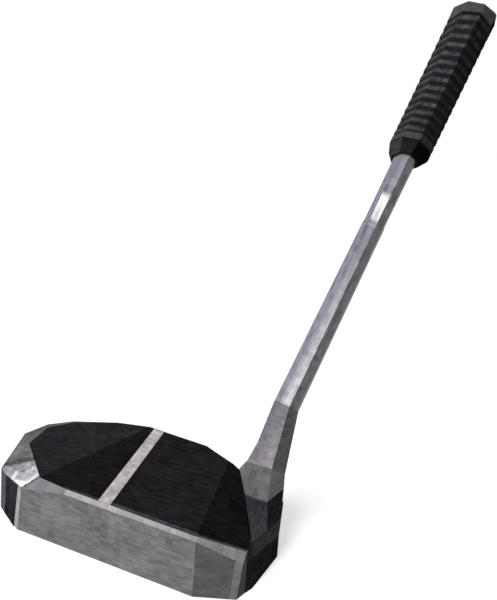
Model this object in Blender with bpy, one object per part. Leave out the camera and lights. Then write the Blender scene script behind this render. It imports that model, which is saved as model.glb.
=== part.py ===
"""Golf putter: mallet head, heel-mounted hosel, faceted steel shaft and ribbed grip.

Metres, +Z up. The sole lies on z = 0, the face looks along -Y and the heel is at +X.
The plan below is measured from the foot of the face; the finished putter is moved so that
the middle of its sole is the origin.
"""
import math

import bmesh
import bpy
from mathutils import Vector

MM = 0.001
PLAN = 1.0 * MM             # unit in which the outlines are drawn

# Clearances
GAP = 0.3 * MM              # between pieces that meet
INLAY_GAP = 0.15 * MM       # each side of the alignment line
BOND_GAP = 0.15 * MM        # glue film round the hosel post

# Heights of the head
BODY_TOP = 24.6 * MM        # parting plane between the lower head and the crown
CROWN_RISE = 7.2 * MM       # from the parting plane to the flat of the crown
TOE_DROP = 1.3 * MM         # crown's front toe corner below its flat
TOE_EDGE_DROP = 2.0 * MM    # crown's toe edge below its flat
HEEL_DROP = 6.2 * MM        # crown's front heel corner below its flat
FLOOR = 3.5 * MM            # floor of the body's cavity
WALL = 4.5 * MM             # wall of the body's cavity
RIM_LAND = 0.5 * MM         # upright edge under the rim's bevel
CROWN_CHAMFER = 0.6 * MM    # along the crown's front edge

# Face plate
FACE_THICKNESS = 4.4 * MM
FACE_BEVEL = 1.6 * MM       # height of the strip between face and crown
FACE_BEVEL_DEPTH = 1.4 * MM
FACE_TOE_RISE = 0.4 * MM    # top of the face at its toe corner, above the parting plane
FACE_HEEL_DROP = 4.0 * MM   # top of the face at its heel corner, below the parting plane
SOLE_LIFT = 0.4 * MM        # face plate's lower edge above the sole
PAD_THICKNESS = 1.1 * MM
PAD_BOTTOM = 6.0 * MM
PAD_HEIGHT = 13.0 * MM
PAD_TOE = -31.0 * MM
PAD_LENGTH = 51.0 * MM

# Alignment line
LINE_X = -11.0 * MM
LINE_WIDTH = 5.6 * MM
LINE_DEPTH = 1.4 * MM

# Heel column and hosel
LEDGE_DROP = 5.9 * MM       # height of the bevel in front of the column
LEDGE_INSET = 3.6 * MM
LEDGE_STEP = 0.9 * MM       # where the column starts to narrow, below the parting plane
COLUMN_RISE = 15.2 * MM     # from the parting plane to the hosel
HIP_RISE = 12.6 * MM        # widest section of the hosel, above the column
HOSEL_RISE = 42.8 * MM      # from the column to the shaft
POST_LENGTH = 24.0 * MM
POST_ROOT = 8.0 * MM        # length of the post inside the neck
HOSEL_SLANT = 32.0          # degrees, cut of the hosel's upper end

# Shaft and grip: lengths run up the shaft from the hosel's upper end
LIE = 79.2                  # degrees, shaft to ground
SIDES = 8
SIDE_TURN = 8.0             # degrees, near corner of the facets turned towards the heel
SHAFT_RADIUS = 5.4 * MM
SHAFT_NECK_RADIUS = 3.5 * MM
SHAFT_WALL = 1.1 * MM
SHAFT_STEP = 79.5 * MM      # where the shaft steps down
SHAFT_STEP_DEPTH = 0.2 * MM
GRIP_START = 101.2 * MM
COLLAR_LENGTH = 3.0 * MM
COLLAR_RADIUS = 4.5 * MM
GRIP_RADIUS = 6.8 * MM
GRIP_TOP_RADIUS = 6.4 * MM
GRIP_LENGTH = 34.7 * MM
CAP_LENGTH = 4.0 * MM
CAP_BEVEL = 0.7 * MM
SPIGOT_LENGTH = 2.6 * MM
VENT_RADIUS = 0.8 * MM
RIB_COUNT = 14
RIB_DEPTH = 0.15 * MM
BAND_LENGTH = 1.8 * MM      # plain band below the ribs
RIB_SHARE = 0.45            # rib's share of its pitch
GRIP_SLANT = 30.0           # degrees, cut of the ribs and bands
BUTT_SLANT = 12.0           # degrees, cut of the grip's butt end
TAPE_THICKNESS = 0.5 * MM
TAPE_SETBACK = 3.0 * MM     # of the tape inside the sleeve
PLUG_LENGTH = 7.0 * MM
PLUG_FLANGE = 0.9 * MM
BUTT_ROOM = 0.7 * MM        # between the plug and the cap

# Fasteners and weights
SCREW_RADIUS = 1.5 * MM
SCREW_HEAD_RADIUS = 2.6 * MM
SCREW_HEAD_HEIGHT = 2.0 * MM
SCREW_RECESS = 0.6 * MM     # head below the sole
POST_RADIUS = 4.2 * MM      # screw posts in the cavity
CROWN_BITE = 4.0 * MM       # screw length inside the crown
RIM_BITE = 1.2 * MM
FACE_BITE = 2.4 * MM
FACE_SCREW_MARGIN = 6.5 * MM    # beyond each end of the pad
FACE_SCREW_LOW = 8.0 * MM
FACE_SCREW_PITCH = 9.0 * MM
BOLT_RADIUS = 2.5 * MM
BOLT_HEAD_RADIUS = 4.2 * MM
BOLT_HEAD_HEIGHT = 5.0 * MM
BOLT_RECESS = 1.2 * MM
BOLT_BITE = 11.0 * MM       # bolt length inside the hosel
WASHER_THICKNESS = 1.0 * MM
WEIGHT_RADIUS = 4.4 * MM
WEIGHT_FLANGE_RADIUS = 5.4 * MM
WEIGHT_FLANGE = 2.0 * MM
WEIGHT_LENGTH = 13.0 * MM
WEIGHT_RECESS = 0.4 * MM
SEAL_THICKNESS = 0.8 * MM

CROWN_TOP = BODY_TOP + CROWN_RISE
COLUMN_TOP = BODY_TOP + COLUMN_RISE


def at(x, y):
    """A point of the plan."""
    return Vector((x, y)) * PLAN


def raised(point, height):
    return Vector((point.x, point.y, height))


# Plan of the head's front: toe tip, toe corner, heel bend, heel corner, heel tip
TOE_TIP = at(-54.4, 1.0)
FACE_TOE = at(-51.9, 0.0)
FACE_BEND = at(32.6, 0.0)
FACE_HEEL = at(50.3, 5.5)
HEEL_TIP = at(52.9, 9.7)

# The face narrows upwards: shift of its ends between the sole and the parting plane
TOE_LEAN = at(2.4, 0.0)
BEND_LEAN = at(-1.9, 0.0)
HEEL_LEAN = at(-0.5, 0.3)
TIP_LEAN = at(-2.5, -1.3)
TIP_BACK_LEAN = (FACE_HEEL - FACE_BEND) * (TIP_LEAN.y / FACE_HEEL.y)

# Plan of the wall behind the face, at the sole and at the parting plane, from the heel
# round the back to the toe
SOLE_WALL = [at(55.4, 13.3), at(62.7, 33.0), at(60.5, 42.5), at(50.0, 50.0), at(33.4, 52.6),
             at(14.0, 59.5), at(-19.0, 60.8), at(-38.0, 56.6), at(-57.0, 48.6), at(-66.8, 40.2),
             at(-72.0, 29.5), at(-67.4, 7.7), at(-63.0, 5.3)]
TOP_WALL = [at(51.6, 10.9), at(60.5, 25.6), at(59.4, 41.0), at(50.0, 49.6), at(33.4, 52.4),
            at(14.0, 58.8), at(-19.0, 60.1), at(-37.8, 55.9), at(-57.0, 48.0), at(-66.7, 40.0),
            at(-71.6, 29.3), at(-64.7, 5.9), at(-60.6, 4.0)]

# Plan of the crown, and the points on the face where the rim and the strip's rise start
RIM_CORNER = at(-48.9, 0.0)
STRIP_START = at(-28.8, 0.0)
CROWN_TOE = at(-43.2, 3.65)
CROWN_FRONT_TOE = at(-28.6, 1.4)
CROWN_FRONT_HEEL = at(29.9, 1.2)
CROWN_HEEL = at(50.9, 7.7)
CREASE_BACK_HEEL = at(29.2, 48.2)
CREASE_BACK_TOE = at(-16.4, 54.3)
CROWN_TOE_EDGE = at(-62.8, 21.5)
CROWN = [CROWN_TOE, CROWN_FRONT_TOE, CROWN_FRONT_HEEL, CROWN_HEEL, at(49.8, 13.9),
         at(41.9, 34.3), at(35.5, 46.9), CREASE_BACK_HEEL, at(15.4, 53.5), CREASE_BACK_TOE,
         at(-33.3, 51.6), at(-53.2, 43.9), at(-62.8, 35.2), CROWN_TOE_EDGE]

# Sections of the heel column and hosel, from the near corner round by the heel
COLUMN_FOOT = [at(55.6, 23.0), at(57.8, 27.7), at(60.0, 32.4), at(58.4, 40.0),
               at(52.0, 43.5), at(46.4, 41.0), at(45.8, 30.0), at(51.0, 14.4)]
COLUMN_HEAD = [at(53.0, 21.6), at(55.5, 27.0), at(58.2, 32.0), at(55.0, 36.0),
               at(50.0, 38.5), at(44.5, 36.0), at(42.4, 29.0), at(43.0, 21.6)]

# The hosel's shoulder, with each corner's height above the column
SHOULDER = [at(51.6, 21.6), at(54.4, 27.0), at(57.2, 32.5), at(54.0, 36.0),
            at(49.5, 38.0), at(43.0, 34.0), at(41.6, 27.0), at(40.9, 21.6)]
SHOULDER_RISES = [17.2 * MM, 12.3 * MM, 7.4 * MM, 6.0 * MM, 5.0 * MM, 7.0 * MM, 13.6 * MM, 17.1 * MM]
HIP_TOE_SIDE = [at(40.0, 27.0), at(38.6, 21.6)]
SHAFT_FOOT = raised(at(51.3, 29.3), COLUMN_TOP + HOSEL_RISE)

# Places of the fasteners and weights, all reached from the sole
CROWN_SCREWS = [at(-44.0, 25.0), at(-24.0, 41.0), at(19.0, 41.0), at(30.0, 20.0)]
RIM_SCREWS = [at(-65.5, 22.0), at(-35.9, 52.5), at(14.7, 55.4)]
BOLT_PLACE = at(49.5, 29.5)
TOE_WEIGHT_PLACE = at(-60.3, 13.0)
HEEL_WEIGHT_PLACE = at(51.2, 40.6)
SOLE_MIDDLE = raised(at(-4.5, 29.8), 0.0)


def cross(a, b):
    """Turn from vector a to vector b in the plan."""
    return a.x * b.y - a.y * b.x


def meet(point_a, way_a, point_b, way_b):
    """Point where two lines of the plan cross."""
    return point_a + way_a * (cross(point_b - point_a, way_b) / cross(way_a, way_b))


def left_of(start, end, distance):
    """Shift that moves the line from start to end to its left."""
    way = (end - start).normalized()
    return Vector((-way.y, way.x)) * distance


def leaning(point, lean, height):
    """Point of the sole's plan, shifted as the wall leans, at a height."""
    return raised(point + lean * (height / BODY_TOP), height)


def offset_path(points, distance):
    """Open path moved to its left, with mitred corners."""
    moved = [points[0] + left_of(points[0], points[1], distance)]
    for before, here, after in zip(points, points[1:], points[2:]):
        moved.append(meet(here + left_of(before, here, distance), here - before,
                          here + left_of(here, after, distance), after - here))
    moved.append(points[-1] + left_of(points[-2], points[-1], distance))
    return moved


def inset(points, distance):
    """Closed outline, counter-clockwise, moved inwards."""
    count = len(points)
    looped = [points[-1]] + list(points) + [points[0]]
    return offset_path(looped, distance)[1:count + 1]


def behind(points, y_front):
    """Part of a closed outline that lies behind a line across the head."""
    kept = []
    for here, after in zip(points, points[1:] + points[:1]):
        if here.y >= y_front:
            kept.append(here)
        if (here.y - y_front) * (after.y - y_front) < 0:
            share = (y_front - here.y) / (after.y - here.y)
            kept.append(here.lerp(after, share))
    return kept


def plane_through(a, b, c):
    """Point and upward normal of the plane through three points."""
    normal = (b - a).cross(c - a).normalized()
    return (a, normal if normal.z > 0 else -normal)


def height_on(plane, point):
    """Height of a plane over a point of the plan."""
    origin, normal = plane
    reach = normal.x * (point.x - origin.x) + normal.y * (point.y - origin.y)
    return origin.z - reach / normal.z


CROWN_PLANES = [
    (raised(CROWN_FRONT_TOE, CROWN_TOP), Vector((0.0, 0.0, 1.0))),
    plane_through(raised(CROWN_FRONT_TOE, CROWN_TOP), raised(CROWN_TOE, CROWN_TOP - TOE_DROP),
                  raised(CREASE_BACK_TOE, CROWN_TOP)),
    plane_through(raised(CROWN_TOE, CROWN_TOP - TOE_DROP),
                  raised(CROWN_TOE_EDGE, CROWN_TOP - TOE_EDGE_DROP),
                  raised(CREASE_BACK_TOE, CROWN_TOP)),
    plane_through(raised(CROWN_FRONT_HEEL, CROWN_TOP), raised(CROWN_HEEL, CROWN_TOP - HEEL_DROP),
                  raised(CREASE_BACK_HEEL, CROWN_TOP)),
]


def crown_height(point):
    return min(height_on(plane, point) for plane in CROWN_PLANES)


def material(name, colour, roughness, metallic):
    made = bpy.data.materials.new(name)
    made.use_nodes = True
    shader = made.node_tree.nodes["Principled BSDF"]
    shader.inputs["Base Color"].default_value = (*colour, 1.0)
    shader.inputs["Roughness"].default_value = roughness
    shader.inputs["Metallic"].default_value = metallic
    made.diffuse_color = (*colour, 1.0)
    return made


def new_object(name, bm, finish):
    """Closes a bmesh into an object with its normals facing out."""
    bmesh.ops.recalc_face_normals(bm, faces=bm.faces)
    mesh = bpy.data.meshes.new(name)
    bm.to_mesh(mesh)
    bm.free()
    obj = bpy.data.objects.new(name, mesh)
    bpy.context.scene.collection.objects.link(obj)
    if finish:
        mesh.materials.append(finish)
    else:
        obj.hide_render = True
        obj.display_type = "WIRE"
    return obj


def add_rings(bm, rings, closed=False, creased=False):
    """Skin between rings of equal count, with end caps unless the rings close on themselves.

    A creased skin folds each of its faces from the upper ring's corner down to the next.
    """
    made = [[bm.verts.new(point) for point in ring] for ring in rings]
    pairs = list(zip(made, made[1:]))
    if closed:
        pairs.append((made[-1], made[0]))
    else:
        bm.faces.new(made[0][::-1])
        bm.faces.new(made[-1])
    for lower, upper in pairs:
        for i in range(len(lower)):
            j = (i + 1) % len(lower)
            if creased:
                bm.faces.new((lower[i], lower[j], upper[i]))
                bm.faces.new((lower[j], upper[j], upper[i]))
            else:
                bm.faces.new((lower[i], lower[j], upper[j], upper[i]))


def loft(name, rings, finish, closed=False, creased=False):
    bm = bmesh.new()
    add_rings(bm, rings, closed, creased)
    return new_object(name, bm, finish)


def prism(name, outline, bottom, top, finish=None):
    """Upright solid over a plan outline."""
    rings = [[raised(point, height) for point in outline] for height in (bottom, top)]
    return loft(name, rings, finish)


def box(name, low, high, finish=None):
    outline = [Vector((low[0], low[1])), Vector((high[0], low[1])),
               Vector((high[0], high[1])), Vector((low[0], high[1]))]
    return prism(name, outline, low[2], high[2], finish)


def turned(name, profile, place, finish=None, axis=(0.0, 0.0, 1.0), segments=24, hollow=False):
    """Solid turned round an axis from radius and height pairs, solid or with a bore."""
    rings = []
    for radius, height in profile:
        turns = [2.0 * math.pi * i / segments for i in range(segments)]
        rings.append([Vector((radius * math.cos(t), radius * math.sin(t), height)) for t in turns])
    obj = loft(name, rings, finish, closed=hollow)
    obj.location = place
    obj.rotation_mode = "QUATERNION"
    obj.rotation_quaternion = Vector((0.0, 0.0, 1.0)).rotation_difference(Vector(axis))
    if finish:
        obj.data.shade_smooth()
        obj.data.set_sharp_from_angle(angle=math.radians(35.0))
    return obj


def combine(obj, other, operation):
    other.hide_render = True
    other.display_type = "WIRE"
    step = obj.modifiers.new(operation.title() + " " + other.name, "BOOLEAN")
    step.operation = operation
    step.solver = "EXACT"
    step.object = other


def cut(obj, *cutters):
    for cutter in cutters:
        combine(obj, cutter, "DIFFERENCE")


def join(obj, *others):
    for other in others:
        combine(obj, other, "UNION")


def trim(obj, planes):
    """Cuts away what lies above each plane and closes the cut."""
    bm = bmesh.new()
    bm.from_mesh(obj.data)
    for origin, normal in planes:
        everything = bm.verts[:] + bm.edges[:] + bm.faces[:]
        bmesh.ops.bisect_plane(bm, geom=everything, dist=1e-8, plane_co=origin, plane_no=normal,
                               clear_outer=True)
        rim = [edge for edge in bm.edges if edge.is_boundary]
        if rim:
            bmesh.ops.holes_fill(bm, edges=rim)
    bmesh.ops.recalc_face_normals(bm, faces=bm.faces)
    bm.to_mesh(obj.data)
    bm.free()


def section(outline, height):
    return [raised(point, height) for point in outline]


def shaft_point(length, across=0.0, back=0.0):
    """Point at a length up the shaft's axis, moved across it and towards the back."""
    lie = math.radians(LIE)
    along = Vector((math.cos(lie), 0.0, math.sin(lie)))
    side = Vector((math.sin(lie), 0.0, -math.cos(lie)))
    return SHAFT_FOOT + along * length + side * across + Vector((0.0, back, 0.0))


def shaft_ring(radius, length, slant=0.0):
    """Faceted section round the shaft, its near corner towards the face, front edge raised."""
    ring = []
    for i in range(SIDES):
        turn = math.radians(SIDE_TURN - 90.0) + 2.0 * math.pi * i / SIDES
        back = radius * math.sin(turn)
        rise = -back * math.tan(math.radians(slant))
        ring.append(shaft_point(length + rise, radius * math.cos(turn), back))
    return ring


def shaft_radius(length):
    """Outer radius of the shaft, which tapers up to the grip and stays even inside it."""
    share = min(length / GRIP_START, 1.0)
    return SHAFT_RADIUS + (SHAFT_NECK_RADIUS - SHAFT_RADIUS) * share


def corner_gap(gap):
    """Corner distance that leaves a gap between the flats of two faceted sections."""
    return gap / math.cos(math.pi / SIDES)


FLAT_SHARE = math.cos(math.pi / SIDES)
TAPE_BORE = SHAFT_NECK_RADIUS + corner_gap(GAP)
TAPE_RADIUS = TAPE_BORE + TAPE_THICKNESS
GRIP_BORE = TAPE_RADIUS + corner_gap(GAP)
SLEEVE_START = GRIP_START + COLLAR_LENGTH + GAP
SLEEVE_END = SLEEVE_START + GRIP_LENGTH
CAP_START = SLEEVE_END + GAP
SPIGOT_RADIUS = GRIP_BORE - corner_gap(GAP)
SPIGOT_FOOT = CAP_START - SPIGOT_LENGTH - SPIGOT_RADIUS * math.tan(math.radians(GRIP_SLANT))
SHAFT_LENGTH = SPIGOT_FOOT - BUTT_ROOM - PLUG_FLANGE - GAP


def sleeve_radius(length):
    """Outer radius of the grip, which tapers a little to the butt."""
    share = (length - SLEEVE_START) / GRIP_LENGTH
    return GRIP_RADIUS + (GRIP_TOP_RADIUS - GRIP_RADIUS) * share


def screw(name, place, length, finish, axis=(0.0, 0.0, 1.0)):
    """Socket screw, its head at the origin and its shank along the axis."""
    socket = 0.5 * SCREW_HEAD_RADIUS
    profile = [(socket, 0.5 * SCREW_HEAD_HEIGHT), (socket, 0.0), (SCREW_HEAD_RADIUS, 0.0),
               (SCREW_HEAD_RADIUS, SCREW_HEAD_HEIGHT), (SCREW_RADIUS, SCREW_HEAD_HEIGHT),
               (SCREW_RADIUS, length - 0.3 * SCREW_RADIUS), (0.7 * SCREW_RADIUS, length)]
    return turned(name, profile, place, finish, axis, segments=16)


def screw_hole(name, place, length, axis=(0.0, 0.0, 1.0), lead=0.0):
    """Cutter for a screw: its counterbore, with a lead in front of the head, and its shank."""
    seat = SCREW_HEAD_HEIGHT + GAP
    profile = [(SCREW_HEAD_RADIUS + GAP, -lead), (SCREW_HEAD_RADIUS + GAP, seat),
               (SCREW_RADIUS + GAP, seat), (SCREW_RADIUS + GAP, length + GAP)]
    return turned(name, profile, place, axis=axis, segments=16)


def hex_socket(name, radius, depth, place):
    """Six-sided cutter for a hexagon key, open towards the sole."""
    return turned(name, [(radius, -depth), (radius, depth)], place, segments=6)


def plate_back():
    """Rear corners of the face plate at the toe, the bend and the heel."""
    toe, bend, heel = offset_path([FACE_TOE, FACE_BEND, FACE_HEEL], FACE_THICKNESS)
    return Vector((TOE_TIP.x, toe.y)), bend, heel


def make_face(silver):
    toe_back, bend_back, heel_back = plate_back()
    still = at(0.0, 0.0)
    outline = [(TOE_TIP, TOE_LEAN), (FACE_TOE, TOE_LEAN), (FACE_BEND, BEND_LEAN),
               (FACE_HEEL, HEEL_LEAN), (HEEL_TIP, TIP_LEAN), (heel_back, TIP_BACK_LEAN),
               (bend_back, still), (toe_back, TOE_LEAN)]
    rings = [[leaning(point, lean, height) for point, lean in outline]
             for height in (SOLE_LIFT, CROWN_TOP + GAP)]
    plate = loft("face_plate", rings, silver)
    bevel = FACE_BEVEL / FACE_BEVEL_DEPTH
    face_top = CROWN_TOP - FACE_BEVEL
    face_toe = leaning(FACE_TOE, TOE_LEAN, BODY_TOP + FACE_TOE_RISE)
    face_bend = leaning(FACE_BEND, BEND_LEAN, face_top)
    face_heel = leaning(FACE_HEEL, HEEL_LEAN, BODY_TOP - FACE_HEEL_DROP)
    crown_heel = raised(CROWN_HEEL, CROWN_TOP - HEEL_DROP)
    trim(plate, [
        (raised(FACE_TOE, face_top), Vector((0.0, -bevel, 1.0)).normalized()),
        (raised(FACE_TOE, CROWN_TOP), Vector((0.0, 0.0, 1.0))),
        plane_through(face_toe, raised(STRIP_START, face_top),
                      raised(CROWN_TOE, CROWN_TOP - TOE_DROP)),
        plane_through(face_bend, crown_heel, raised(CROWN_FRONT_HEEL, CROWN_TOP)),
        plane_through(face_bend, crown_heel, face_heel),
    ])
    run_out = RIM_CORNER + (RIM_CORNER - CROWN_TOE)
    shelf = [run_out] + CROWN[:4]
    shelf += [CROWN_HEEL + (CROWN_HEEL - CROWN_FRONT_HEEL), Vector((run_out.x, HEEL_TIP.y * 2.0))]
    cut(plate, prism("face_shelf", shelf, BODY_TOP, CROWN_TOP + 10.0 * GAP))
    pad_low = (PAD_TOE, FACE_THICKNESS - PAD_THICKNESS, PAD_BOTTOM)
    pad_high = (PAD_TOE + PAD_LENGTH, FACE_THICKNESS, PAD_BOTTOM + PAD_HEIGHT)
    pocket_low = [value - GAP for value in pad_low]
    pocket_high = [value + GAP for value in pad_high]
    cut(plate, box("pad_pocket", pocket_low, pocket_high))
    for i, place in enumerate(face_screw_places()):
        cut(plate, screw_hole("face_screw_hole_%d" % (i + 1), place, face_screw_length(),
                              axis=(0.0, -1.0, 0.0)))
    return plate, box("face_pad", pad_low, pad_high)


def face_screw_places():
    """Under the screw heads, on the inner side of the cavity's front wall."""
    y = FACE_THICKNESS + GAP + WALL + SCREW_HEAD_HEIGHT + GAP
    columns = (PAD_TOE - FACE_SCREW_MARGIN, PAD_TOE + PAD_LENGTH + FACE_SCREW_MARGIN)
    rows = (FACE_SCREW_LOW, FACE_SCREW_LOW + FACE_SCREW_PITCH)
    return [Vector((x, y, z)) for x in columns for z in rows]


def face_screw_length():
    return SCREW_HEAD_HEIGHT + GAP + WALL + GAP + FACE_BITE


def body_outline(wall, height):
    """Section of the lower head, its front ends leaning with the face plate's."""
    front = offset_path([FACE_TOE, FACE_BEND, FACE_HEEL], FACE_THICKNESS + GAP)[:2]
    share = height / BODY_TOP
    horn = TOE_TIP - Vector((1.1 * GAP, 0.0)) + TOE_LEAN * share
    front[0] = Vector((horn.x, front[0].y))
    back = plate_back()[2] + TIP_BACK_LEAN * share + Vector((0.0, 1.2 * GAP))
    tip = HEEL_TIP + TIP_LEAN * share + Vector((0.5 * GAP, 1.2 * GAP))
    return section(front + [back, tip] + wall + [horn], height)


def ledge_plane():
    """Bevel in front of the heel column, from the wall up to the parting plane."""
    height = BODY_TOP - LEDGE_DROP
    start, end = [low.lerp(high, height / BODY_TOP)
                  for low, high in zip(SOLE_WALL[:2], TOP_WALL[:2])]
    inward = left_of(start, end, LEDGE_DROP)
    return raised(start, height), Vector((-inward.x, -inward.y, LEDGE_INSET)).normalized()


def make_body(black):
    body = loft("head_body", [body_outline(SOLE_WALL, 0.0), body_outline(TOP_WALL, BODY_TOP)],
                black)
    trim(body, [ledge_plane()])
    column = loft("heel_column", [section(COLUMN_FOOT, FLOOR),
                                  section(COLUMN_FOOT, BODY_TOP - LEDGE_STEP),
                                  section(COLUMN_HEAD, COLUMN_TOP)], None, creased=True)
    join(body, column)
    front = FACE_THICKNESS + GAP
    cavity = inset(behind(CROWN, front), WALL)
    cut(body, prism("cavity", cavity, FLOOR, BODY_TOP + GAP))
    for i, place in enumerate(CROWN_SCREWS):
        post = [(POST_RADIUS, 0.5 * FLOOR), (POST_RADIUS, BODY_TOP)]
        join(body, turned("screw_post_%d" % (i + 1), post, raised(place, 0.0)))
    return body


def crown_chamfers():
    """Planes of the chamfer along the crown's front edge."""
    planes = []
    for start, end in zip(CROWN[1:3], CROWN[2:4]):
        edge = left_of(start, end, GAP)
        back = start.lerp(end, 0.5) + left_of(start, end, GAP + CROWN_CHAMFER)
        low = [raised(point + edge, crown_height(point + edge) - CROWN_CHAMFER)
               for point in (start, end)]
        planes.append(plane_through(*low, raised(back, crown_height(back))))
    return planes


def make_crown(black, white):
    outline = inset(CROWN, GAP)
    crown = prism("crown_plate", outline, BODY_TOP + GAP, CROWN_TOP + GAP, black)
    trim(crown, CROWN_PLANES + crown_chamfers())
    half = 0.5 * LINE_WIDTH
    bottom = CROWN_TOP - LINE_DEPTH
    deep = CREASE_BACK_TOE.y
    groove_low = (LINE_X - half - INLAY_GAP, -GAP, bottom - GAP)
    groove_high = (LINE_X + half + INLAY_GAP, 2.0 * deep, CROWN_TOP + GAP)
    cut(crown, box("line_groove", groove_low, groove_high))
    front = CROWN_FRONT_TOE.y + GAP
    line = box("alignment_line", (LINE_X - half, front, bottom),
               (LINE_X + half, deep - 2.0 * GAP, CROWN_TOP), white)
    return crown, line


def make_rim(silver):
    """Bevelled rim between the wall and the crown, from the face round the toe to the heel."""
    mitre = left_of(RIM_CORNER, CROWN_TOE, GAP)
    toe_third = CROWN_TOE.lerp(CROWN_TOE_EDGE, 0.33)
    toe_two_thirds = CROWN_TOE.lerp(CROWN_TOE_EDGE, 0.66)
    outer = [RIM_CORNER + mitre] + TOP_WALL[:3:-1]
    inner = [CROWN_TOE + mitre, toe_third, toe_two_thirds] + CROWN[:7:-1]
    inner += [CREASE_BACK_HEEL.lerp(CROWN[6], 0.4)]
    bottom = BODY_TOP + GAP
    rings = []
    for out, inn in zip(outer, inner):
        rings.append([raised(out, bottom), raised(out, bottom + RIM_LAND),
                      raised(inn, crown_height(inn)), raised(inn, bottom)])
    return loft("perimeter_rim", rings, silver)


def make_hosel(grey):
    foot = section(COLUMN_HEAD, COLUMN_TOP + GAP)
    shoulder = [raised(point, COLUMN_TOP + rise) for point, rise in zip(SHOULDER, SHOULDER_RISES)]
    hip = [low.lerp(high, (HIP_RISE - GAP) / (SHOULDER_RISES[0] - GAP))
           for low, high in zip(foot, shoulder)]
    hip[-2:] = section(HIP_TOE_SIDE, COLUMN_TOP + HIP_RISE)
    hosel = loft("hosel", [foot, hip, shoulder, shaft_ring(SHAFT_RADIUS, 0.0, HOSEL_SLANT)], grey)
    wide = (shaft_radius(0.0) - SHAFT_WALL) * FLAT_SHARE - BOND_GAP
    tip = (shaft_radius(POST_LENGTH) - SHAFT_WALL) * FLAT_SHARE - BOND_GAP
    profile = [(wide, -POST_ROOT), (wide, 0.0), (tip, POST_LENGTH - GAP), (0.9 * tip, POST_LENGTH)]
    axis = shaft_point(1.0) - shaft_point(0.0)
    join(hosel, turned("hosel_post", profile, shaft_point(0.0), axis=axis, segments=24))
    depth = COLUMN_TOP + GAP + BOLT_BITE
    cut(hosel, turned("bolt_thread", [(BOLT_RADIUS + GAP, COLUMN_TOP - GAP),
                                      (BOLT_RADIUS + GAP, depth + GAP)], raised(BOLT_PLACE, 0.0)))
    return hosel


def make_bolt(body, steel):
    """Bolt and washer that clamp the hosel to the heel column."""
    seat = BOLT_RECESS + BOLT_HEAD_HEIGHT + GAP + WASHER_THICKNESS + GAP
    reach = COLUMN_TOP + GAP + BOLT_BITE
    profile = [(BOLT_HEAD_RADIUS, BOLT_RECESS), (BOLT_HEAD_RADIUS, BOLT_RECESS + BOLT_HEAD_HEIGHT),
               (BOLT_RADIUS, BOLT_RECESS + BOLT_HEAD_HEIGHT), (BOLT_RADIUS, reach)]
    place = raised(BOLT_PLACE, 0.0)
    bolt = turned("hosel_bolt", profile, place, steel)
    cut(bolt, hex_socket("bolt_socket", 0.6 * BOLT_HEAD_RADIUS, 0.6 * BOLT_HEAD_HEIGHT,
                         raised(BOLT_PLACE, BOLT_RECESS)))
    low = BOLT_RECESS + BOLT_HEAD_HEIGHT + GAP
    high = low + WASHER_THICKNESS
    bore = BOLT_RADIUS + GAP
    turned("hosel_washer", [(bore, low), (BOLT_HEAD_RADIUS, low), (BOLT_HEAD_RADIUS, high),
                            (bore, high)], place, steel, hollow=True)
    hole = [(BOLT_HEAD_RADIUS + GAP, -GAP), (BOLT_HEAD_RADIUS + GAP, seat), (bore, seat),
            (bore, COLUMN_TOP + GAP)]
    cut(body, turned("bolt_hole", hole, place))


def make_weight(body, end, place, steel, rubber):
    """Threaded weight with a hexagon socket, its seal, and its socket in the sole."""
    flange_top = WEIGHT_RECESS + WEIGHT_FLANGE
    top = WEIGHT_RECESS + WEIGHT_LENGTH
    spot = raised(place, 0.0)
    profile = [(WEIGHT_FLANGE_RADIUS, WEIGHT_RECESS), (WEIGHT_FLANGE_RADIUS, flange_top),
               (WEIGHT_RADIUS, flange_top), (WEIGHT_RADIUS, top - 2.0 * GAP),
               (WEIGHT_RADIUS - 2.0 * GAP, top)]
    weight = turned(end + "_weight", profile, spot, steel, segments=32)
    cut(weight, hex_socket(end + "_weight_key", 0.45 * WEIGHT_FLANGE_RADIUS,
                           2.0 * WEIGHT_FLANGE, raised(place, WEIGHT_RECESS)))
    bore = WEIGHT_RADIUS + GAP
    low = flange_top + GAP
    high = low + SEAL_THICKNESS
    turned(end + "_weight_seal", [(bore, low), (WEIGHT_FLANGE_RADIUS, low),
                                  (WEIGHT_FLANGE_RADIUS, high), (bore, high)],
           spot, rubber, hollow=True, segments=32)
    wide = WEIGHT_FLANGE_RADIUS + GAP
    hole = [(wide, -GAP), (wide, high + GAP), (bore, high + GAP), (bore, top + GAP)]
    cut(body, turned(end + "_weight_hole", hole, spot, segments=32))


def fasten(body, crown, rim, steel):
    """Screws that hold crown, rim and face plate, with their holes."""
    start = SCREW_RECESS
    for kind, places, target, bite in (("crown", CROWN_SCREWS, crown, CROWN_BITE),
                                       ("rim", RIM_SCREWS, rim, RIM_BITE)):
        length = BODY_TOP + GAP + bite - start
        for i, place in enumerate(places):
            spot = raised(place, start)
            name = "%s_screw_%d" % (kind, i + 1)
            screw(name, spot, length, steel)
            hole = screw_hole(name + "_hole", spot, length, lead=2.0 * start)
            cut(body, hole)
            cut(target, hole)
    for i, place in enumerate(face_screw_places()):
        name = "face_screw_%d" % (i + 1)
        screw(name, place, face_screw_length(), steel, axis=(0.0, -1.0, 0.0))
        cut(body, bpy.data.objects["face_screw_hole_%d" % (i + 1)])


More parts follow.
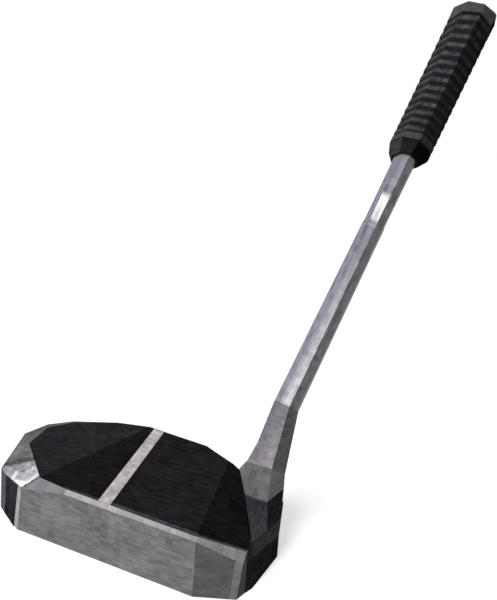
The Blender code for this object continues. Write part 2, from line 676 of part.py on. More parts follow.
def make_shaft(steel, rubber):
    outer = [shaft_ring(shaft_radius(0.0), GAP, HOSEL_SLANT),
             shaft_ring(shaft_radius(SHAFT_STEP), SHAFT_STEP),
             shaft_ring(shaft_radius(SHAFT_STEP) - SHAFT_STEP_DEPTH, SHAFT_STEP + SHAFT_STEP_DEPTH),
             shaft_ring(shaft_radius(GRIP_START), GRIP_START),
             shaft_ring(shaft_radius(SHAFT_LENGTH), SHAFT_LENGTH)]
    inner = [shaft_ring(shaft_radius(SHAFT_LENGTH) - SHAFT_WALL, SHAFT_LENGTH),
             shaft_ring(shaft_radius(GRIP_START) - SHAFT_WALL, GRIP_START),
             shaft_ring(shaft_radius(0.0) - SHAFT_WALL, GAP, HOSEL_SLANT)]
    loft("shaft", outer + inner, steel, closed=True)
    plug = (SHAFT_NECK_RADIUS - SHAFT_WALL) * FLAT_SHARE - BOND_GAP
    flange = SHAFT_NECK_RADIUS * FLAT_SHARE
    axis = shaft_point(1.0) - shaft_point(0.0)
    profile = [(plug, GAP - PLUG_LENGTH), (plug, GAP), (flange, GAP), (flange, GAP + PLUG_FLANGE)]
    turned("shaft_plug", profile, shaft_point(SHAFT_LENGTH), rubber, axis, segments=16)


def make_grip(rubber, band, tape_finish):
    pitch = (GRIP_LENGTH - BAND_LENGTH) / RIB_COUNT
    outer = [(0.0, 0.0), (BAND_LENGTH, 0.0), (BAND_LENGTH + RIB_DEPTH, RIB_DEPTH)]
    for i in range(RIB_COUNT):
        low = BAND_LENGTH + pitch * (i + 0.5 * (1.0 - RIB_SHARE))
        high = low + pitch * RIB_SHARE
        outer += [(low - RIB_DEPTH, RIB_DEPTH), (low, 0.0), (high, 0.0),
                  (high + RIB_DEPTH, RIB_DEPTH)]
    outer.append((GRIP_LENGTH, RIB_DEPTH))
    rings = []
    for rise, depth in outer:
        length = SLEEVE_START + rise
        rings.append(shaft_ring(sleeve_radius(length) - depth, length, GRIP_SLANT))
    for length in (SLEEVE_END, SLEEVE_START):
        rings.append(shaft_ring(GRIP_BORE, length, GRIP_SLANT))
    loft("grip_sleeve", rings, rubber, closed=True)

    collar_bore = SHAFT_NECK_RADIUS + corner_gap(GAP) + 0.3 * GAP
    collar_top = GRIP_START + COLLAR_LENGTH
    loft("grip_collar", [shaft_ring(COLLAR_RADIUS, GRIP_START, GRIP_SLANT),
                         shaft_ring(GRIP_RADIUS, collar_top, GRIP_SLANT),
                         shaft_ring(collar_bore, collar_top, GRIP_SLANT),
                         shaft_ring(collar_bore, GRIP_START, GRIP_SLANT)], band, closed=True)

    tape_start = SLEEVE_START + TAPE_SETBACK
    loft("grip_tape", [shaft_ring(TAPE_RADIUS, tape_start), shaft_ring(TAPE_RADIUS, SHAFT_LENGTH),
                       shaft_ring(TAPE_BORE, SHAFT_LENGTH), shaft_ring(TAPE_BORE, tape_start)],
         tape_finish, closed=True)

    butt = CAP_START + CAP_LENGTH
    cap = loft("grip_cap", [shaft_ring(GRIP_TOP_RADIUS, CAP_START, GRIP_SLANT),
                            shaft_ring(GRIP_TOP_RADIUS, butt, BUTT_SLANT),
                            shaft_ring(GRIP_TOP_RADIUS - CAP_BEVEL, butt + CAP_BEVEL,
                                       BUTT_SLANT)], rubber)
    spigot = [shaft_ring(SPIGOT_RADIUS, length, GRIP_SLANT)
              for length in (CAP_START - SPIGOT_LENGTH, CAP_START + GAP)]
    join(cap, loft("cap_spigot", spigot, None))
    axis = shaft_point(1.0) - shaft_point(0.0)
    reach = 3.0 * (CAP_LENGTH + CAP_BEVEL + SPIGOT_LENGTH)
    cut(cap, turned("vent", [(VENT_RADIUS, -reach), (VENT_RADIUS, reach)],
                    shaft_point(CAP_START), axis=axis, segments=16))


def build():
    for obj in list(bpy.data.objects):
        bpy.data.objects.remove(obj, do_unlink=True)
    silver = material("satin_steel", (0.33, 0.33, 0.34), 0.35, 1.0)
    grey = material("blasted_steel", (0.40, 0.40, 0.42), 0.45, 1.0)
    bright = material("polished_steel", (0.62, 0.62, 0.66), 0.18, 1.0)
    black = material("black_anodised", (0.012, 0.012, 0.014), 0.45, 0.6)
    white = material("white_resin", (0.62, 0.60, 0.57), 0.6, 0.0)
    fastener = material("screw_steel", (0.30, 0.30, 0.31), 0.4, 1.0)
    rubber = material("black_rubber", (0.02, 0.02, 0.02), 0.75, 0.0)
    band = material("grey_rubber", (0.07, 0.07, 0.07), 0.7, 0.0)
    polymer = material("damping_polymer", (0.10, 0.03, 0.02), 0.6, 0.0)
    paper = material("grip_tape_paper", (0.45, 0.42, 0.35), 0.9, 0.0)

    body = make_body(black)
    plate, pad = make_face(silver)
    pad.data.materials.append(polymer)
    pad.hide_render = False
    pad.display_type = "TEXTURED"
    crown, _ = make_crown(black, white)
    rim = make_rim(silver)
    make_hosel(grey)
    make_bolt(body, fastener)
    make_weight(body, "toe", TOE_WEIGHT_PLACE, fastener, rubber)
    make_weight(body, "heel", HEEL_WEIGHT_PLACE, fastener, rubber)
    fasten(body, crown, rim, fastener)
    make_shaft(bright, rubber)
    make_grip(rubber, band, paper)
    for obj in bpy.data.objects:
        obj.location -= SOLE_MIDDLE


build()
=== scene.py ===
"""Finishes a mallet putter: satin steel face and rim, black crown, polished shaft, ribbed grip.

Lengths are metres, in the frame of the packed model: sole on the floor, face towards -Y,
heel at +X.
"""
import math

import bmesh
import bpy
from mathutils import Matrix, Vector


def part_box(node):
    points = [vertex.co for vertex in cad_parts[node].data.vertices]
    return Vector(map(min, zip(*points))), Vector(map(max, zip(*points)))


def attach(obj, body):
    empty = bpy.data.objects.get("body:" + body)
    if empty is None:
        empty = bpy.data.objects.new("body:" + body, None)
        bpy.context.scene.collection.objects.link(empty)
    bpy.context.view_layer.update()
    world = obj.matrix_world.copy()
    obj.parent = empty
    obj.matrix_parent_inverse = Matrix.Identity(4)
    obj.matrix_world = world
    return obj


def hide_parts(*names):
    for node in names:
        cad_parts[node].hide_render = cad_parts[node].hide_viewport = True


bl_info = {
    "name": "Putter Finishes",
    "version": (1, 0, 0),
    "blender": (4, 5, 0),
    "location": "3D View > Sidebar > Putter",
    "description": "Dresses the pieces of a mallet golf putter and sets up a studio round it",
    "category": "Object",
}

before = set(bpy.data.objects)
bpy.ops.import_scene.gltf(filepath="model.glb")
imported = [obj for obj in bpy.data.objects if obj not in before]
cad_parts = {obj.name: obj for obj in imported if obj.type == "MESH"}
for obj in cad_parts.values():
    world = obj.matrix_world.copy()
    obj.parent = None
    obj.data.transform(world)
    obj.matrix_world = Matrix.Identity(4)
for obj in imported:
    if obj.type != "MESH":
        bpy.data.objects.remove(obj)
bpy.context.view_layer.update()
MM = 0.001

# Points within WELD are joined, faces within SAME_PLANE of each other become one, and edges
# that bend by more than SHARP_EDGE are broken
WELD = 1e-6
SAME_PLANE = math.radians(0.6)
SHARP_EDGE = math.radians(12.0)

# Casts of the colours
PLAIN = (1.0, 1.0, 1.0)
COOL = (0.98, 0.985, 1.05)
WARM = (1.025, 1.0, 0.975)

# Length of a block that leaves its direction undivided, save at 0
WHOLE = 1.0

FORWARD, BACK, DOWN = (0.0, -1.0, 0.0), (0.0, 1.0, 0.0), (0.0, 0.0, -1.0)

# Way up the shaft, its lean from the vertical, and how far its sides look round the vertical
LIE = math.radians(79.2)
SHAFT_WAY = Vector((math.cos(LIE), 0.0, math.sin(LIE)))
LEAN = math.pi / 2.0 - LIE
FRONT_TURN = math.radians(-104.5)
HALF_SIDE = math.radians(22.5)
SIDE_TURNS = [FRONT_TURN + math.radians(turn) for turn in (0.0, -45.0, 45.0, 90.0)]

# Where the shaft's foot is along SHAFT_WAY, its middle, and the middle of the line across
SHAFT_POINTS = [vertex.co.copy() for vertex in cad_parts["shaft"].data.vertices]
SHAFT_START = min(point.dot(SHAFT_WAY) for point in SHAFT_POINTS)
SHAFT_MIDDLE = sum(SHAFT_POINTS, Vector()) / len(SHAFT_POINTS)
LINE_MIDDLE = 0.5 * sum(corner[0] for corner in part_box("alignment_line"))

# The grip's rings lie square to GRIP_WAY: a plain band first, then the ribs. RIB_TOP and
# RIB_FOOT are half of a rib's width there, as shares of the way to the next rib
GRIP_WAY = (SHAFT_WAY.x, math.tan(math.radians(30.0)), SHAFT_WAY.z)
BAND_LENGTH = 1.8 * MM
RIB_COUNT = 14
RIB_TOP, RIB_FOOT = 0.13, 0.33

# Bead of glue: how far below the shaft's foot its top and base are, and the width of its bore
# as a share of the outer width
SEAM_TOP, SEAM_BASE = 0.01 * MM, 0.29 * MM
SEAM_BORE = 0.9

# Stage: the floor, the side that the lamp is on, and the camera
FLOOR_RADIUS = 12.0
FLOOR_DROP = 0.05 * MM
WHITE = (1.0, 1.0, 1.0, 1.0)
SEEN_FLOOR = (0.7, 0.7, 0.7)
LAMP_WAY = (-0.40, -0.77, 0.84)
CAMERA_PLACE = (0.0640, -0.1587, 0.1830)
CAMERA_RIGHT = Vector((0.9538745, 0.25087182, 0.16488411))
CAMERA_DOWN = Vector((0.23886026, -0.30153347, -0.9230511))
CAMERA_AHEAD = Vector((-0.18184943, 0.91985917, -0.3475484))


def colour_prop(name, description, default):
    return bpy.props.FloatVectorProperty(name=name, description=description, default=default,
                                         subtype="COLOR", size=3, min=0.0, max=1.0)


def length_prop(name, description, default):
    return bpy.props.FloatProperty(name=name, description=description, default=default,
                                   unit="LENGTH", subtype="DISTANCE", min=0.0, precision=5)


def share_prop(name, description, default, top=1.0):
    return bpy.props.FloatProperty(name=name, description=description, default=default,
                                   subtype="FACTOR", min=0.0, max=top)


class HeadSettings(bpy.types.PropertyGroup):
    """Colours and edges of the head."""

    face: colour_prop("Face", "Milled steel of the striking face", (0.178, 0.175, 0.180))
    strip: colour_prop("Strip", "Polished strip above the face", (0.182, 0.176, 0.180))
    rim: colour_prop("Rim", "Satin steel of the rim", (0.36, 0.355, 0.355))
    crown: colour_prop("Crown", "Black coating of the crown", (0.0115, 0.0105, 0.0125))
    wall: colour_prop("Wall", "Black coating of the body", (0.036, 0.035, 0.040))
    line: colour_prop("Alignment line", "Off-white alignment line", (0.46, 0.44, 0.43))
    edge: length_prop("Edge", "Width of the broken edges", 0.15 * MM)


class NeckSettings(bpy.types.PropertyGroup):
    """Hosel and shaft."""

    hosel: colour_prop("Hosel", "Blasted steel of the hosel", (0.190, 0.188, 0.198))
    shaft: colour_prop("Shaft", "Polished steel of the shaft", (0.335, 0.33, 0.35))
    edge: length_prop("Edge", "Width of the broken edges", 0.12 * MM)


class GripSettings(bpy.types.PropertyGroup):
    """Rubber grip."""

    rubber: colour_prop("Rubber", "Rubber between the ribs", (0.018, 0.017, 0.020))
    rib: colour_prop("Rib", "Worn tops of the ribs", (0.092, 0.089, 0.084))
    band: colour_prop("Band", "Band below the ribs, collar and cap", (0.078, 0.076, 0.078))
    edge: length_prop("Edge", "Width of the broken edges", 0.1 * MM)


class StageSettings(bpy.types.PropertyGroup):
    """Floor, light and camera."""

    floor: share_prop("Floor", "Light that the floor throws back on the object", 0.4)
    glow: share_prop("Glow", "Whitens the floor where it is seen", 0.50)
    key: bpy.props.FloatProperty(name="Key light", description="Strength of the soft key light",
                                 default=2.94, min=0.0)
    softness: bpy.props.FloatProperty(name="Softness", description="Angle of the key light",
                                      default=math.radians(25.0), min=0.0, subtype="ANGLE")
    sky: share_prop("Sky", "Brightness of the surrounding light", 0.35, top=2.0)
    lens: bpy.props.FloatProperty(name="Lens", description="Focal length in millimetres",
                                  default=27.0, min=5.0)


def node(tree, kind, inputs=None, **settings):
    """Adds a shader node. Inputs are numbers, colours or the sockets to link."""
    made = tree.nodes.new(kind)
    for key, value in settings.items():
        setattr(made, key, value)
    for key, value in (inputs or {}).items():
        if isinstance(value, bpy.types.NodeSocket):
            tree.links.new(value, made.inputs[key])
        else:
            made.inputs[key].default_value = value
    return made


def rgba(colour):
    return (*colour[:3], 1.0)


def tinted(colour, factor, cast=PLAIN):
    """Lighter or darker colour, with a cast of its own."""
    return tuple(min(1.0, part * factor * hue) for part, hue in zip(colour[:3], cast))


def new_finish(name, colour, roughness, metallic=0.0, specular=0.0):
    """Material with its uniform values on the shader; returns it with its tree and shader."""
    made = bpy.data.materials.new(name)
    made.use_nodes = True
    tree = made.node_tree
    shader = tree.nodes["Principled BSDF"]
    shader.inputs["Base Color"].default_value = rgba(colour)
    shader.inputs["Roughness"].default_value = roughness
    shader.inputs["Metallic"].default_value = metallic
    shader.inputs["Specular IOR Level"].default_value = specular
    made.diffuse_color = rgba(colour)
    return made, tree, shader


def maths(tree, operation, first, second=0.0, **settings):
    """Result of a maths node for numbers or sockets."""
    return node(tree, "ShaderNodeMath", {0: first, 1: second}, operation=operation,
                **settings).outputs["Value"]


def times(tree, first, second):
    """Product of two masks, kept between 0 and 1."""
    return maths(tree, "MULTIPLY", first, second, use_clamp=True)


def spread(tree, value, low=0.0, high=1.0, source=(0.3, 0.7)):
    """Maps the source range of a value onto another one, and stays within it."""
    return node(tree, "ShaderNodeMapRange", {"Value": value, "From Min": source[0],
                                             "From Max": source[1], "To Min": low,
                                             "To Max": high}).outputs["Result"]


def blend(tree, layers):
    """Sum of weighted tones round a middle of 0.5."""
    total = 0.5 - 0.5 * sum(weight for _, weight in layers)
    for tone, weight in layers:
        total = node(tree, "ShaderNodeMath", {0: tone, 1: weight, 2: total},
                     operation="MULTIPLY_ADD").outputs["Value"]
    return total


def place(tree, scale=(1.0, 1.0, 1.0), lean=0.0):
    """Object coordinates, turned upright where the piece leans, then scaled."""
    where = node(tree, "ShaderNodeTexCoord").outputs["Object"]
    if lean:
        where = node(tree, "ShaderNodeVectorRotate", {"Vector": where, "Angle": -lean},
                     rotation_type="Y_AXIS").outputs["Vector"]
    return node(tree, "ShaderNodeVectorMath", {0: where, 1: scale},
                operation="MULTIPLY").outputs["Vector"]


def along(tree, way):
    """Distance along a direction of the object."""
    where = node(tree, "ShaderNodeTexCoord").outputs["Object"]
    return node(tree, "ShaderNodeVectorMath", {0: where, 1: way},
                operation="DOT_PRODUCT").outputs["Value"]


def sweep(tree, way, start, end):
    """Rises from 0 to 1 between two distances along a direction of the object."""
    return spread(tree, along(tree, way), source=(start, end))


def noise(tree, where, scale, detail, rough=0.55):
    """Cloudy tone with so many features to a metre."""
    return node(tree, "ShaderNodeTexNoise", {"Vector": where, "Scale": scale, "Detail": detail,
                                             "Roughness": rough}).outputs["Fac"]


def blocks(tree, cell, lean=0.0):
    """Tone that stays even over small blocks, like the marks of a milling cutter."""
    snapped = node(tree, "ShaderNodeVectorMath", {0: place(tree, lean=lean), 1: cell},
                   operation="SNAP").outputs["Vector"]
    single = node(tree, "ShaderNodeTexWhiteNoise", {"Vector": snapped}).outputs["Value"]
    cloud = spread(tree, noise(tree, snapped, 0.3 / cell[0], detail=1.0))
    return blend(tree, ((single, 0.65), (cloud, 0.5)))


def shade(tree, factor, dark, light):
    """Mixes two colours, or colour sockets, by a value."""
    mix = node(tree, "ShaderNodeMix", data_type="RGBA")
    tree.links.new(factor, mix.inputs[0])
    for index, colour in ((6, dark), (7, light)):
        if isinstance(colour, bpy.types.NodeSocket):
            tree.links.new(colour, mix.inputs[index])
        else:
            mix.inputs[index].default_value = rgba(colour)
    return mix.outputs[2]


def lighter(tree, mask, coat, factor, cast=PLAIN):
    """Lightens or darkens a colour socket where a mask is 1, and keeps its marks."""
    changed = node(tree, "ShaderNodeVectorMath", {0: coat, 1: [factor * hue for hue in cast]},
                   operation="MULTIPLY").outputs["Vector"]
    return shade(tree, mask, coat, changed)


def bump(tree, shader, height, distance, strength=0.3):
    """Gives a shader the relief of a tone."""
    relief = node(tree, "ShaderNodeBump", {"Height": height, "Strength": strength,
                                           "Distance": distance})
    tree.links.new(relief.outputs["Normal"], shader.inputs["Normal"])


def colour_shader(tree, shader, colour, contrast, tone, lit):
    """Colours a shader from cool and dark to warm and light, as a tone says.

    lit is None, or a function that adds lighter parts: it gets the tree and the colour so far.
    """
    coat = shade(tree, tone, tinted(colour, 1.0 - contrast, COOL),
                 tinted(colour, 1.0 + contrast, WARM))
    if lit:
        coat = lit(tree, coat)
    tree.links.new(coat, shader.inputs["Base Color"])


def vary_roughness(tree, shader, tone, roughness, swing):
    """Lets the roughness follow a tone, by the swing to both sides."""
    tree.links.new(spread(tree, tone, roughness - swing, roughness + swing),
                   shader.inputs["Roughness"])


def steel_finish(name, colour, roughness=0.4, metallic=0.3, cell=(3.2 * MM, WHOLE, 1.3 * MM),
                 grain=(0.25, 1.0, 1.6), contrast=0.34, lean=0.0, lit=None):
    """Worn steel: cutter marks, a fine grain along one direction and cooler dark patches."""
    made, tree, shader = new_finish(name, colour, roughness, metallic)
    fine = noise(tree, place(tree, grain, lean), 700.0, detail=3.0)
    cloud = noise(tree, place(tree), 130.0, detail=6.0, rough=0.7)
    tone = blend(tree, ((blocks(tree, cell, lean), 0.8), (spread(tree, fine), 0.45),
                        (spread(tree, cloud), 0.3)))
    colour_shader(tree, shader, colour, contrast, tone, lit)
    vary_roughness(tree, shader, fine, roughness, 0.06)
    bump(tree, shader, fine, 0.02 * MM)
    return made


def coated_finish(name, colour, roughness=0.6, cell=(2.6 * MM, 0.9 * MM, WHOLE),
                  grain=(0.35, 1.6, 1.6), contrast=0.6, lit=None):
    """Matt coating or rubber with fine streaks, grit and faint scuffs."""
    made, tree, shader = new_finish(name, colour, roughness)
    grit = noise(tree, place(tree, grain), 800.0, detail=3.0)
    scuff = noise(tree, place(tree, (0.6, 2.0, 1.0)), 90.0, detail=8.0, rough=0.7)
    tone = blend(tree, ((blocks(tree, cell), 0.6), (spread(tree, grit), 0.6),
                        (spread(tree, scuff), 0.35)))
    colour_shader(tree, shader, colour, contrast, tone, lit)
    vary_roughness(tree, shader, scuff, roughness, 0.08)
    bump(tree, shader, grit, 0.03 * MM)
    return made


def ribbed_finish(name, rubber, rib, band, pitch, first):
    """Rubber with a plain band and ribs that are worn lighter; the rings lean with the grip.

    Along GRIP_WAY, the ribs start at the length first and follow each other at the pitch.
    """
    made, tree, shader = new_finish(name, rubber, 0.75)
    reach = along(tree, GRIP_WAY)
    turns = maths(tree, "DIVIDE", maths(tree, "SUBTRACT", reach, first), pitch)
    part = maths(tree, "FRACT", turns)
    off_middle = maths(tree, "ABSOLUTE", maths(tree, "SUBTRACT", part, 0.5))
    ridge = spread(tree, off_middle, 1.0, 0.0, source=(RIB_TOP, RIB_FOOT))
    mottle = noise(tree, place(tree, (1.0, 1.0, 0.7), LEAN), 620.0, detail=5.0, rough=0.75)
    toned = times(tree, ridge, spread(tree, mottle, -0.15, 1.3))
    streaks = spread(tree, noise(tree, place(tree, (1.0, 1.0, 0.3), LEAN), 900.0, detail=3.0))
    ground = shade(tree, streaks, tinted(rubber, 0.7, COOL), tinted(rubber, 1.3, COOL))
    ribbed = shade(tree, toned, ground, rib)
    plain = shade(tree, streaks, tinted(band, 0.85), tinted(band, 1.15))
    blur = 0.05 * MM
    in_band = spread(tree, reach, 1.0, 0.0, source=(first - blur, first + blur))
    tree.links.new(shade(tree, in_band, ribbed, plain), shader.inputs["Base Color"])
    bump(tree, shader, noise(tree, place(tree), 1800.0, detail=2.0), 0.05 * MM, strength=0.4)
    return made


def welded(cad_node):
    """Copy of a node's mesh as a bmesh, with its facets joined."""
    bm = bmesh.new()
    bm.from_mesh(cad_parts[cad_node].data)
    bmesh.ops.remove_doubles(bm, verts=bm.verts, dist=WELD)
    return bm


def new_piece(bm, name, finishes):
    """Object made of a bmesh, which is freed, with its finishes."""
    mesh = bpy.data.meshes.new(name)
    bm.to_mesh(mesh)
    bm.free()
    for finish in finishes:
        mesh.materials.append(finish)
    piece = bpy.data.objects.new(name, mesh)
    bpy.context.scene.collection.objects.link(piece)
    return piece


def dressed(cad_node, name, edge, finishes, choose=None):
    """Clean copy of a node with broken edges.

    choose picks one of the finishes for a face, from the face's normal and from its centre in
    millimetres. Without it every face has the first finish.
    """
    bm = welded(cad_node)
    bmesh.ops.dissolve_limit(bm, angle_limit=SAME_PLANE, verts=bm.verts, edges=bm.edges)
    bm.normal_update()
    for face in bm.faces:
        face.smooth = False
        if choose:
            finish = choose(face.normal, face.calc_center_median() / MM)
            face.material_index = finishes.index(finish)
    piece = new_piece(bm, name, finishes)
    soften = piece.modifiers.new("Broken edges", "BEVEL")
    soften.width = edge
    soften.segments = 2
    soften.limit_method = "ANGLE"
    soften.angle_limit = SHARP_EDGE
    soften.use_clamp_overlap = True
    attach(piece, "root")
    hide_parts(cad_node)


def by_side(finishes):
    """Returns the choose function that gives each side of the shaft or grip its finish.

    The finishes are for the front side, for its neighbours towards the toe and towards the
    heel, for the heel side, and for all sides behind.
    """
    def choose(normal, _centre):
        turn = math.atan2(normal.y, normal.x)
        for finish, middle in zip(finishes, SIDE_TURNS):
            if abs(turn - middle) < HALF_SIDE:
                return finish
        return finishes[-1]

    return choose


class PUTTER_OT_body(bpy.types.Operator):
    """Black body with the heel column"""

    bl_idname = "putter.body"
    bl_label = "Head Body"

    def execute(self, context):
        settings = context.scene.putter_head
        upright = (1.4 * MM, 1.4 * MM, 2.6 * MM)
        tall = (1.4 * MM, WHOLE, 6.0 * MM)
        streaks = (1.0, 1.0, 0.5)
        # The coating's tones by face are painted light and shade: lighter on the column's near
        # side, on its foot and on the toe wall, darker on the heel wall and the other walls, on
        # the toe corner and on the column's heel side; the ledge keeps the plain coating
        column = coated_finish("column_coating", tinted(settings.wall, 1.2), cell=upright,
                               grain=streaks, contrast=0.5)
        wall = coated_finish("heel_wall_painted_shade", tinted(settings.wall, 0.55), cell=upright,
                             grain=(1.2, 1.2, 0.4))
        ledge = coated_finish("ledge_coating", settings.wall, cell=upright, contrast=0.3)
        foot = coated_finish("column_foot_painted_light", tinted(settings.wall, 1.45), cell=upright,
                             grain=streaks, contrast=0.5)
        corner = coated_finish("toe_corner_painted_shade", tinted(settings.wall, 0.8), cell=tall,
                               contrast=0.75)
        toe = coated_finish("toe_wall_painted_light", tinted(settings.wall, 2.9), cell=tall,
                            contrast=0.4)
        shaded = coated_finish("column_painted_shade", tinted(settings.wall, 0.62),
                               cell=upright, grain=streaks)
        column_base = 24.0
        corner_end, toe_end = -50.0, -56.0

        def choose(normal, centre):
            """Goes by height, then by slope and side."""
            if centre.z > column_base:
                if normal.z > 0.4:
                    return foot
                return shaded if normal.x > 0.5 else column
            if 0.2 < normal.z < 0.9 and normal.x > 0.3:
                return ledge
            if normal.y < -0.6 and centre.x < corner_end:
                return toe if centre.x < toe_end else corner
            return wall

        dressed("head_body", "coated_body", settings.edge,
                [column, wall, ledge, corner, toe, shaded, foot], choose)
        return {"FINISHED"}


class PUTTER_OT_face(bpy.types.Operator):
    """Milled steel face with its polished upper strip"""

    bl_idname = "putter.face"
    bl_label = "Face Plate"

    def execute(self, context):
        settings = context.scene.putter_head
        # The tones by facet are painted light and shade: the toe end and the strip at the heel
        # lighter, the strip at the toe a little darker, the heel side and its tip darker, with a
        # painted highlight along the heel end
        milled = steel_finish("milled_face_steel", settings.face)
        strip = steel_finish("polished_strip_steel", settings.strip, 0.35,
                             cell=(2.0 * MM, WHOLE, WHOLE), contrast=0.2)
        toe_strip = steel_finish("toe_strip_steel", tinted(settings.strip, 0.95), 0.45,
                                 cell=(3.0 * MM, WHOLE, WHOLE), contrast=0.14)
        heel_strip = steel_finish("heel_strip_painted_light", tinted(settings.strip, 1.2), 0.45,
                                  cell=(2.4 * MM, WHOLE, WHOLE), contrast=0.2)
        heel = steel_finish("heel_face_painted_shade", tinted(settings.face, 0.57, (1.02, 1.0, 0.96)),
                            cell=(3.0 * MM, WHOLE, 2.4 * MM), grain=(0.6, 1.0, 1.0),
                            contrast=0.3, lit=self.paint_heel_end_highlight)
        heel_tip = steel_finish("heel_tip_painted_shade", tinted(settings.face, 0.22, WARM),
                                contrast=0.2)
        toe_tip = steel_finish("toe_tip_painted_light", tinted(settings.face, 1.9),
                               cell=(WHOLE, WHOLE, 1.6 * MM), contrast=0.2)
        strip_bend = 33.0

        def choose(normal, centre):
            """The strip slopes up; the face and its ends are upright."""
            if normal.z > 0.15 and normal.y < -0.1:
                if centre.x > strip_bend:
                    return heel_strip
                return toe_strip if normal.x < -0.03 else strip
            if normal.x > 0.7:
                return heel_tip
            if normal.x < -0.2:
                return toe_tip
            return heel if normal.x > 0.1 else milled

        dressed("face_plate", "milled_face", settings.edge,
                [milled, strip, toe_strip, heel_strip, heel, heel_tip, toe_tip], choose)
        return {"FINISHED"}

    @staticmethod
    def paint_heel_end_highlight(tree, coat):
        """Painted highlight: a lighter band along the heel end."""
        band = sweep(tree, (1.0, 0.0, 0.03), 51.7 * MM, 52.0 * MM)
        return lighter(tree, band, coat, 1.5, (0.97, 1.0, 1.06))


class PUTTER_OT_crown(bpy.types.Operator):
    """Matt black crown with a painted highlight along its front edge"""

    bl_idname = "putter.crown"
    bl_label = "Crown Plate"

    def execute(self, context):
        settings = context.scene.putter_head
        # The tones by facet are painted light and shade: lighter on the facets that slope to the
        # toe and on the heel half of the top, darker on the facets that slope to the heel, and a
        # painted highlight on the edge that slopes to the front
        dark = coated_finish("crown_coating", tinted(settings.crown, 0.9), lit=self.paint_front_edge_highlight)
        heel_half = coated_finish("heel_half_painted_light", tinted(settings.crown, 1.3),
                                  lit=self.paint_front_edge_highlight)
        toe = coated_finish("toe_crown_painted_light", tinted(settings.crown, 1.9), contrast=0.5)
        heel = coated_finish("heel_crown_painted_shade", tinted(settings.crown, 0.75),
                             lit=self.paint_heel_edge_highlight)
        toned = coated_finish("edge_painted_highlight", tinted(settings.crown, 4.2), contrast=0.3)

        def choose(normal, centre):
            """The front edge slopes down, and the folds slope to the heel or the toe."""
            if normal.y < -0.3 and normal.z > 0.3:
                return toned
            if normal.z < 0.5:
                return dark
            if normal.x > 0.03:
                return heel
            if normal.x < -0.01:
                return toe if normal.x < -0.065 else dark
            return heel_half if centre.x > LINE_MIDDLE / MM else dark

        dressed("crown_plate", "coated_crown", settings.edge,
                [dark, heel_half, toe, heel, toned], choose)
        return {"FINISHED"}

    @staticmethod
    def paint_front_edge_highlight(tree, coat):
        """Painted highlight: the coating lighter grey along the front edge."""
        return lighter(tree, sweep(tree, FORWARD, 26.9 * MM, 27.1 * MM), coat, 4.0)

    @staticmethod
    def paint_heel_edge_highlight(tree, coat):
        """Painted highlight: the coating lighter grey along the slanted edge at the heel."""
        slanted = (0.296, -0.955, 0.0)
        return lighter(tree, sweep(tree, slanted, 36.3 * MM, 36.5 * MM), coat, 3.0)


class PUTTER_OT_line(bpy.types.Operator):
    """Off-white alignment line"""

    bl_idname = "putter.line"
    bl_label = "Alignment Line"

    def execute(self, context):
        colour = context.scene.putter_head.line
        resin, tree, shader = new_finish("alignment_resin", colour, 0.6, specular=0.1)
        grime = noise(tree, place(tree), 420.0, detail=6.0, rough=0.7)
        tone = blend(tree, ((blocks(tree, (2.6 * MM, 1.7 * MM, WHOLE)), 0.7),
                            (spread(tree, grime), 0.4)))
        coat = shade(tree, tone, tinted(colour, 0.62, (0.99, 0.98, 1.04)),
                     tinted(colour, 1.38, WARM))
        tree.links.new(coat, shader.inputs["Base Color"])
        bump(tree, shader, grime, 0.04 * MM)
        dressed("alignment_line", "inlaid_line", 0.08 * MM, [resin])
        return {"FINISHED"}


class PUTTER_OT_rim(bpy.types.Operator):
    """Satin steel rim round the crown, with a painted highlight beside the face and painted
    shade round the toe
    """

    bl_idname = "putter.rim"
    bl_label = "Perimeter Rim"

    def execute(self, context):
        settings = context.scene.putter_head
        satin = steel_finish("satin_rim_steel", tinted(settings.rim, 0.43, COOL), contrast=0.4,
                             cell=(1.6 * MM, 1.6 * MM, WHOLE), lit=self.paint_rim_light_and_shade)
        dressed("perimeter_rim", "satin_rim", settings.edge, [satin])
        return {"FINISHED"}

    @staticmethod
    def paint_rim_light_and_shade(tree, coat):
        """Painted shade darker towards the back; at the toe a band of painted shade, then a
        painted highlight on the corner by the face.

        The painted highlight gets brighter up to the mitre with the face, which is dark.
        """
        front_corner, beside_face = (0.4, -0.916, 0.0), (0.539, -0.842, 0.0)
        front_half = sweep(tree, FORWARD, 0.0, 4.0 * MM)
        # Painted shade towards the back, then a band of painted shade at the toe
        coat = lighter(tree, sweep(tree, BACK, -14.0 * MM, 4.0 * MM), coat, 0.47)
        painted_shade_band = times(tree, sweep(tree, front_corner, -6.2 * MM, -5.6 * MM), front_half)
        coat = lighter(tree, painted_shade_band, coat, 0.62)
        # Painted highlight on the corner by the face, with blocky marks, brightest next to the
        # face
        polished = times(tree, sweep(tree, front_corner, -3.3 * MM, -2.8 * MM), front_half)
        coat = lighter(tree, polished, coat, 2.2)
        near = times(tree, sweep(tree, beside_face, -13.0 * MM, -1.0 * MM), polished)
        coat = lighter(tree, near, coat, 2.0)
        marks = spread(tree, blocks(tree, (2.1 * MM, 1.5 * MM, WHOLE)), source=(0.5, 0.65))
        coat = lighter(tree, times(tree, near, marks), coat, 2.2, (1.02, 1.0, 0.97))
        coat = lighter(tree, sweep(tree, beside_face, -2.4 * MM, -1.6 * MM), coat, 1.5)
        mitre = sweep(tree, beside_face, 0.0, 0.15 * MM)
        return lighter(tree, mitre, coat, 0.2)


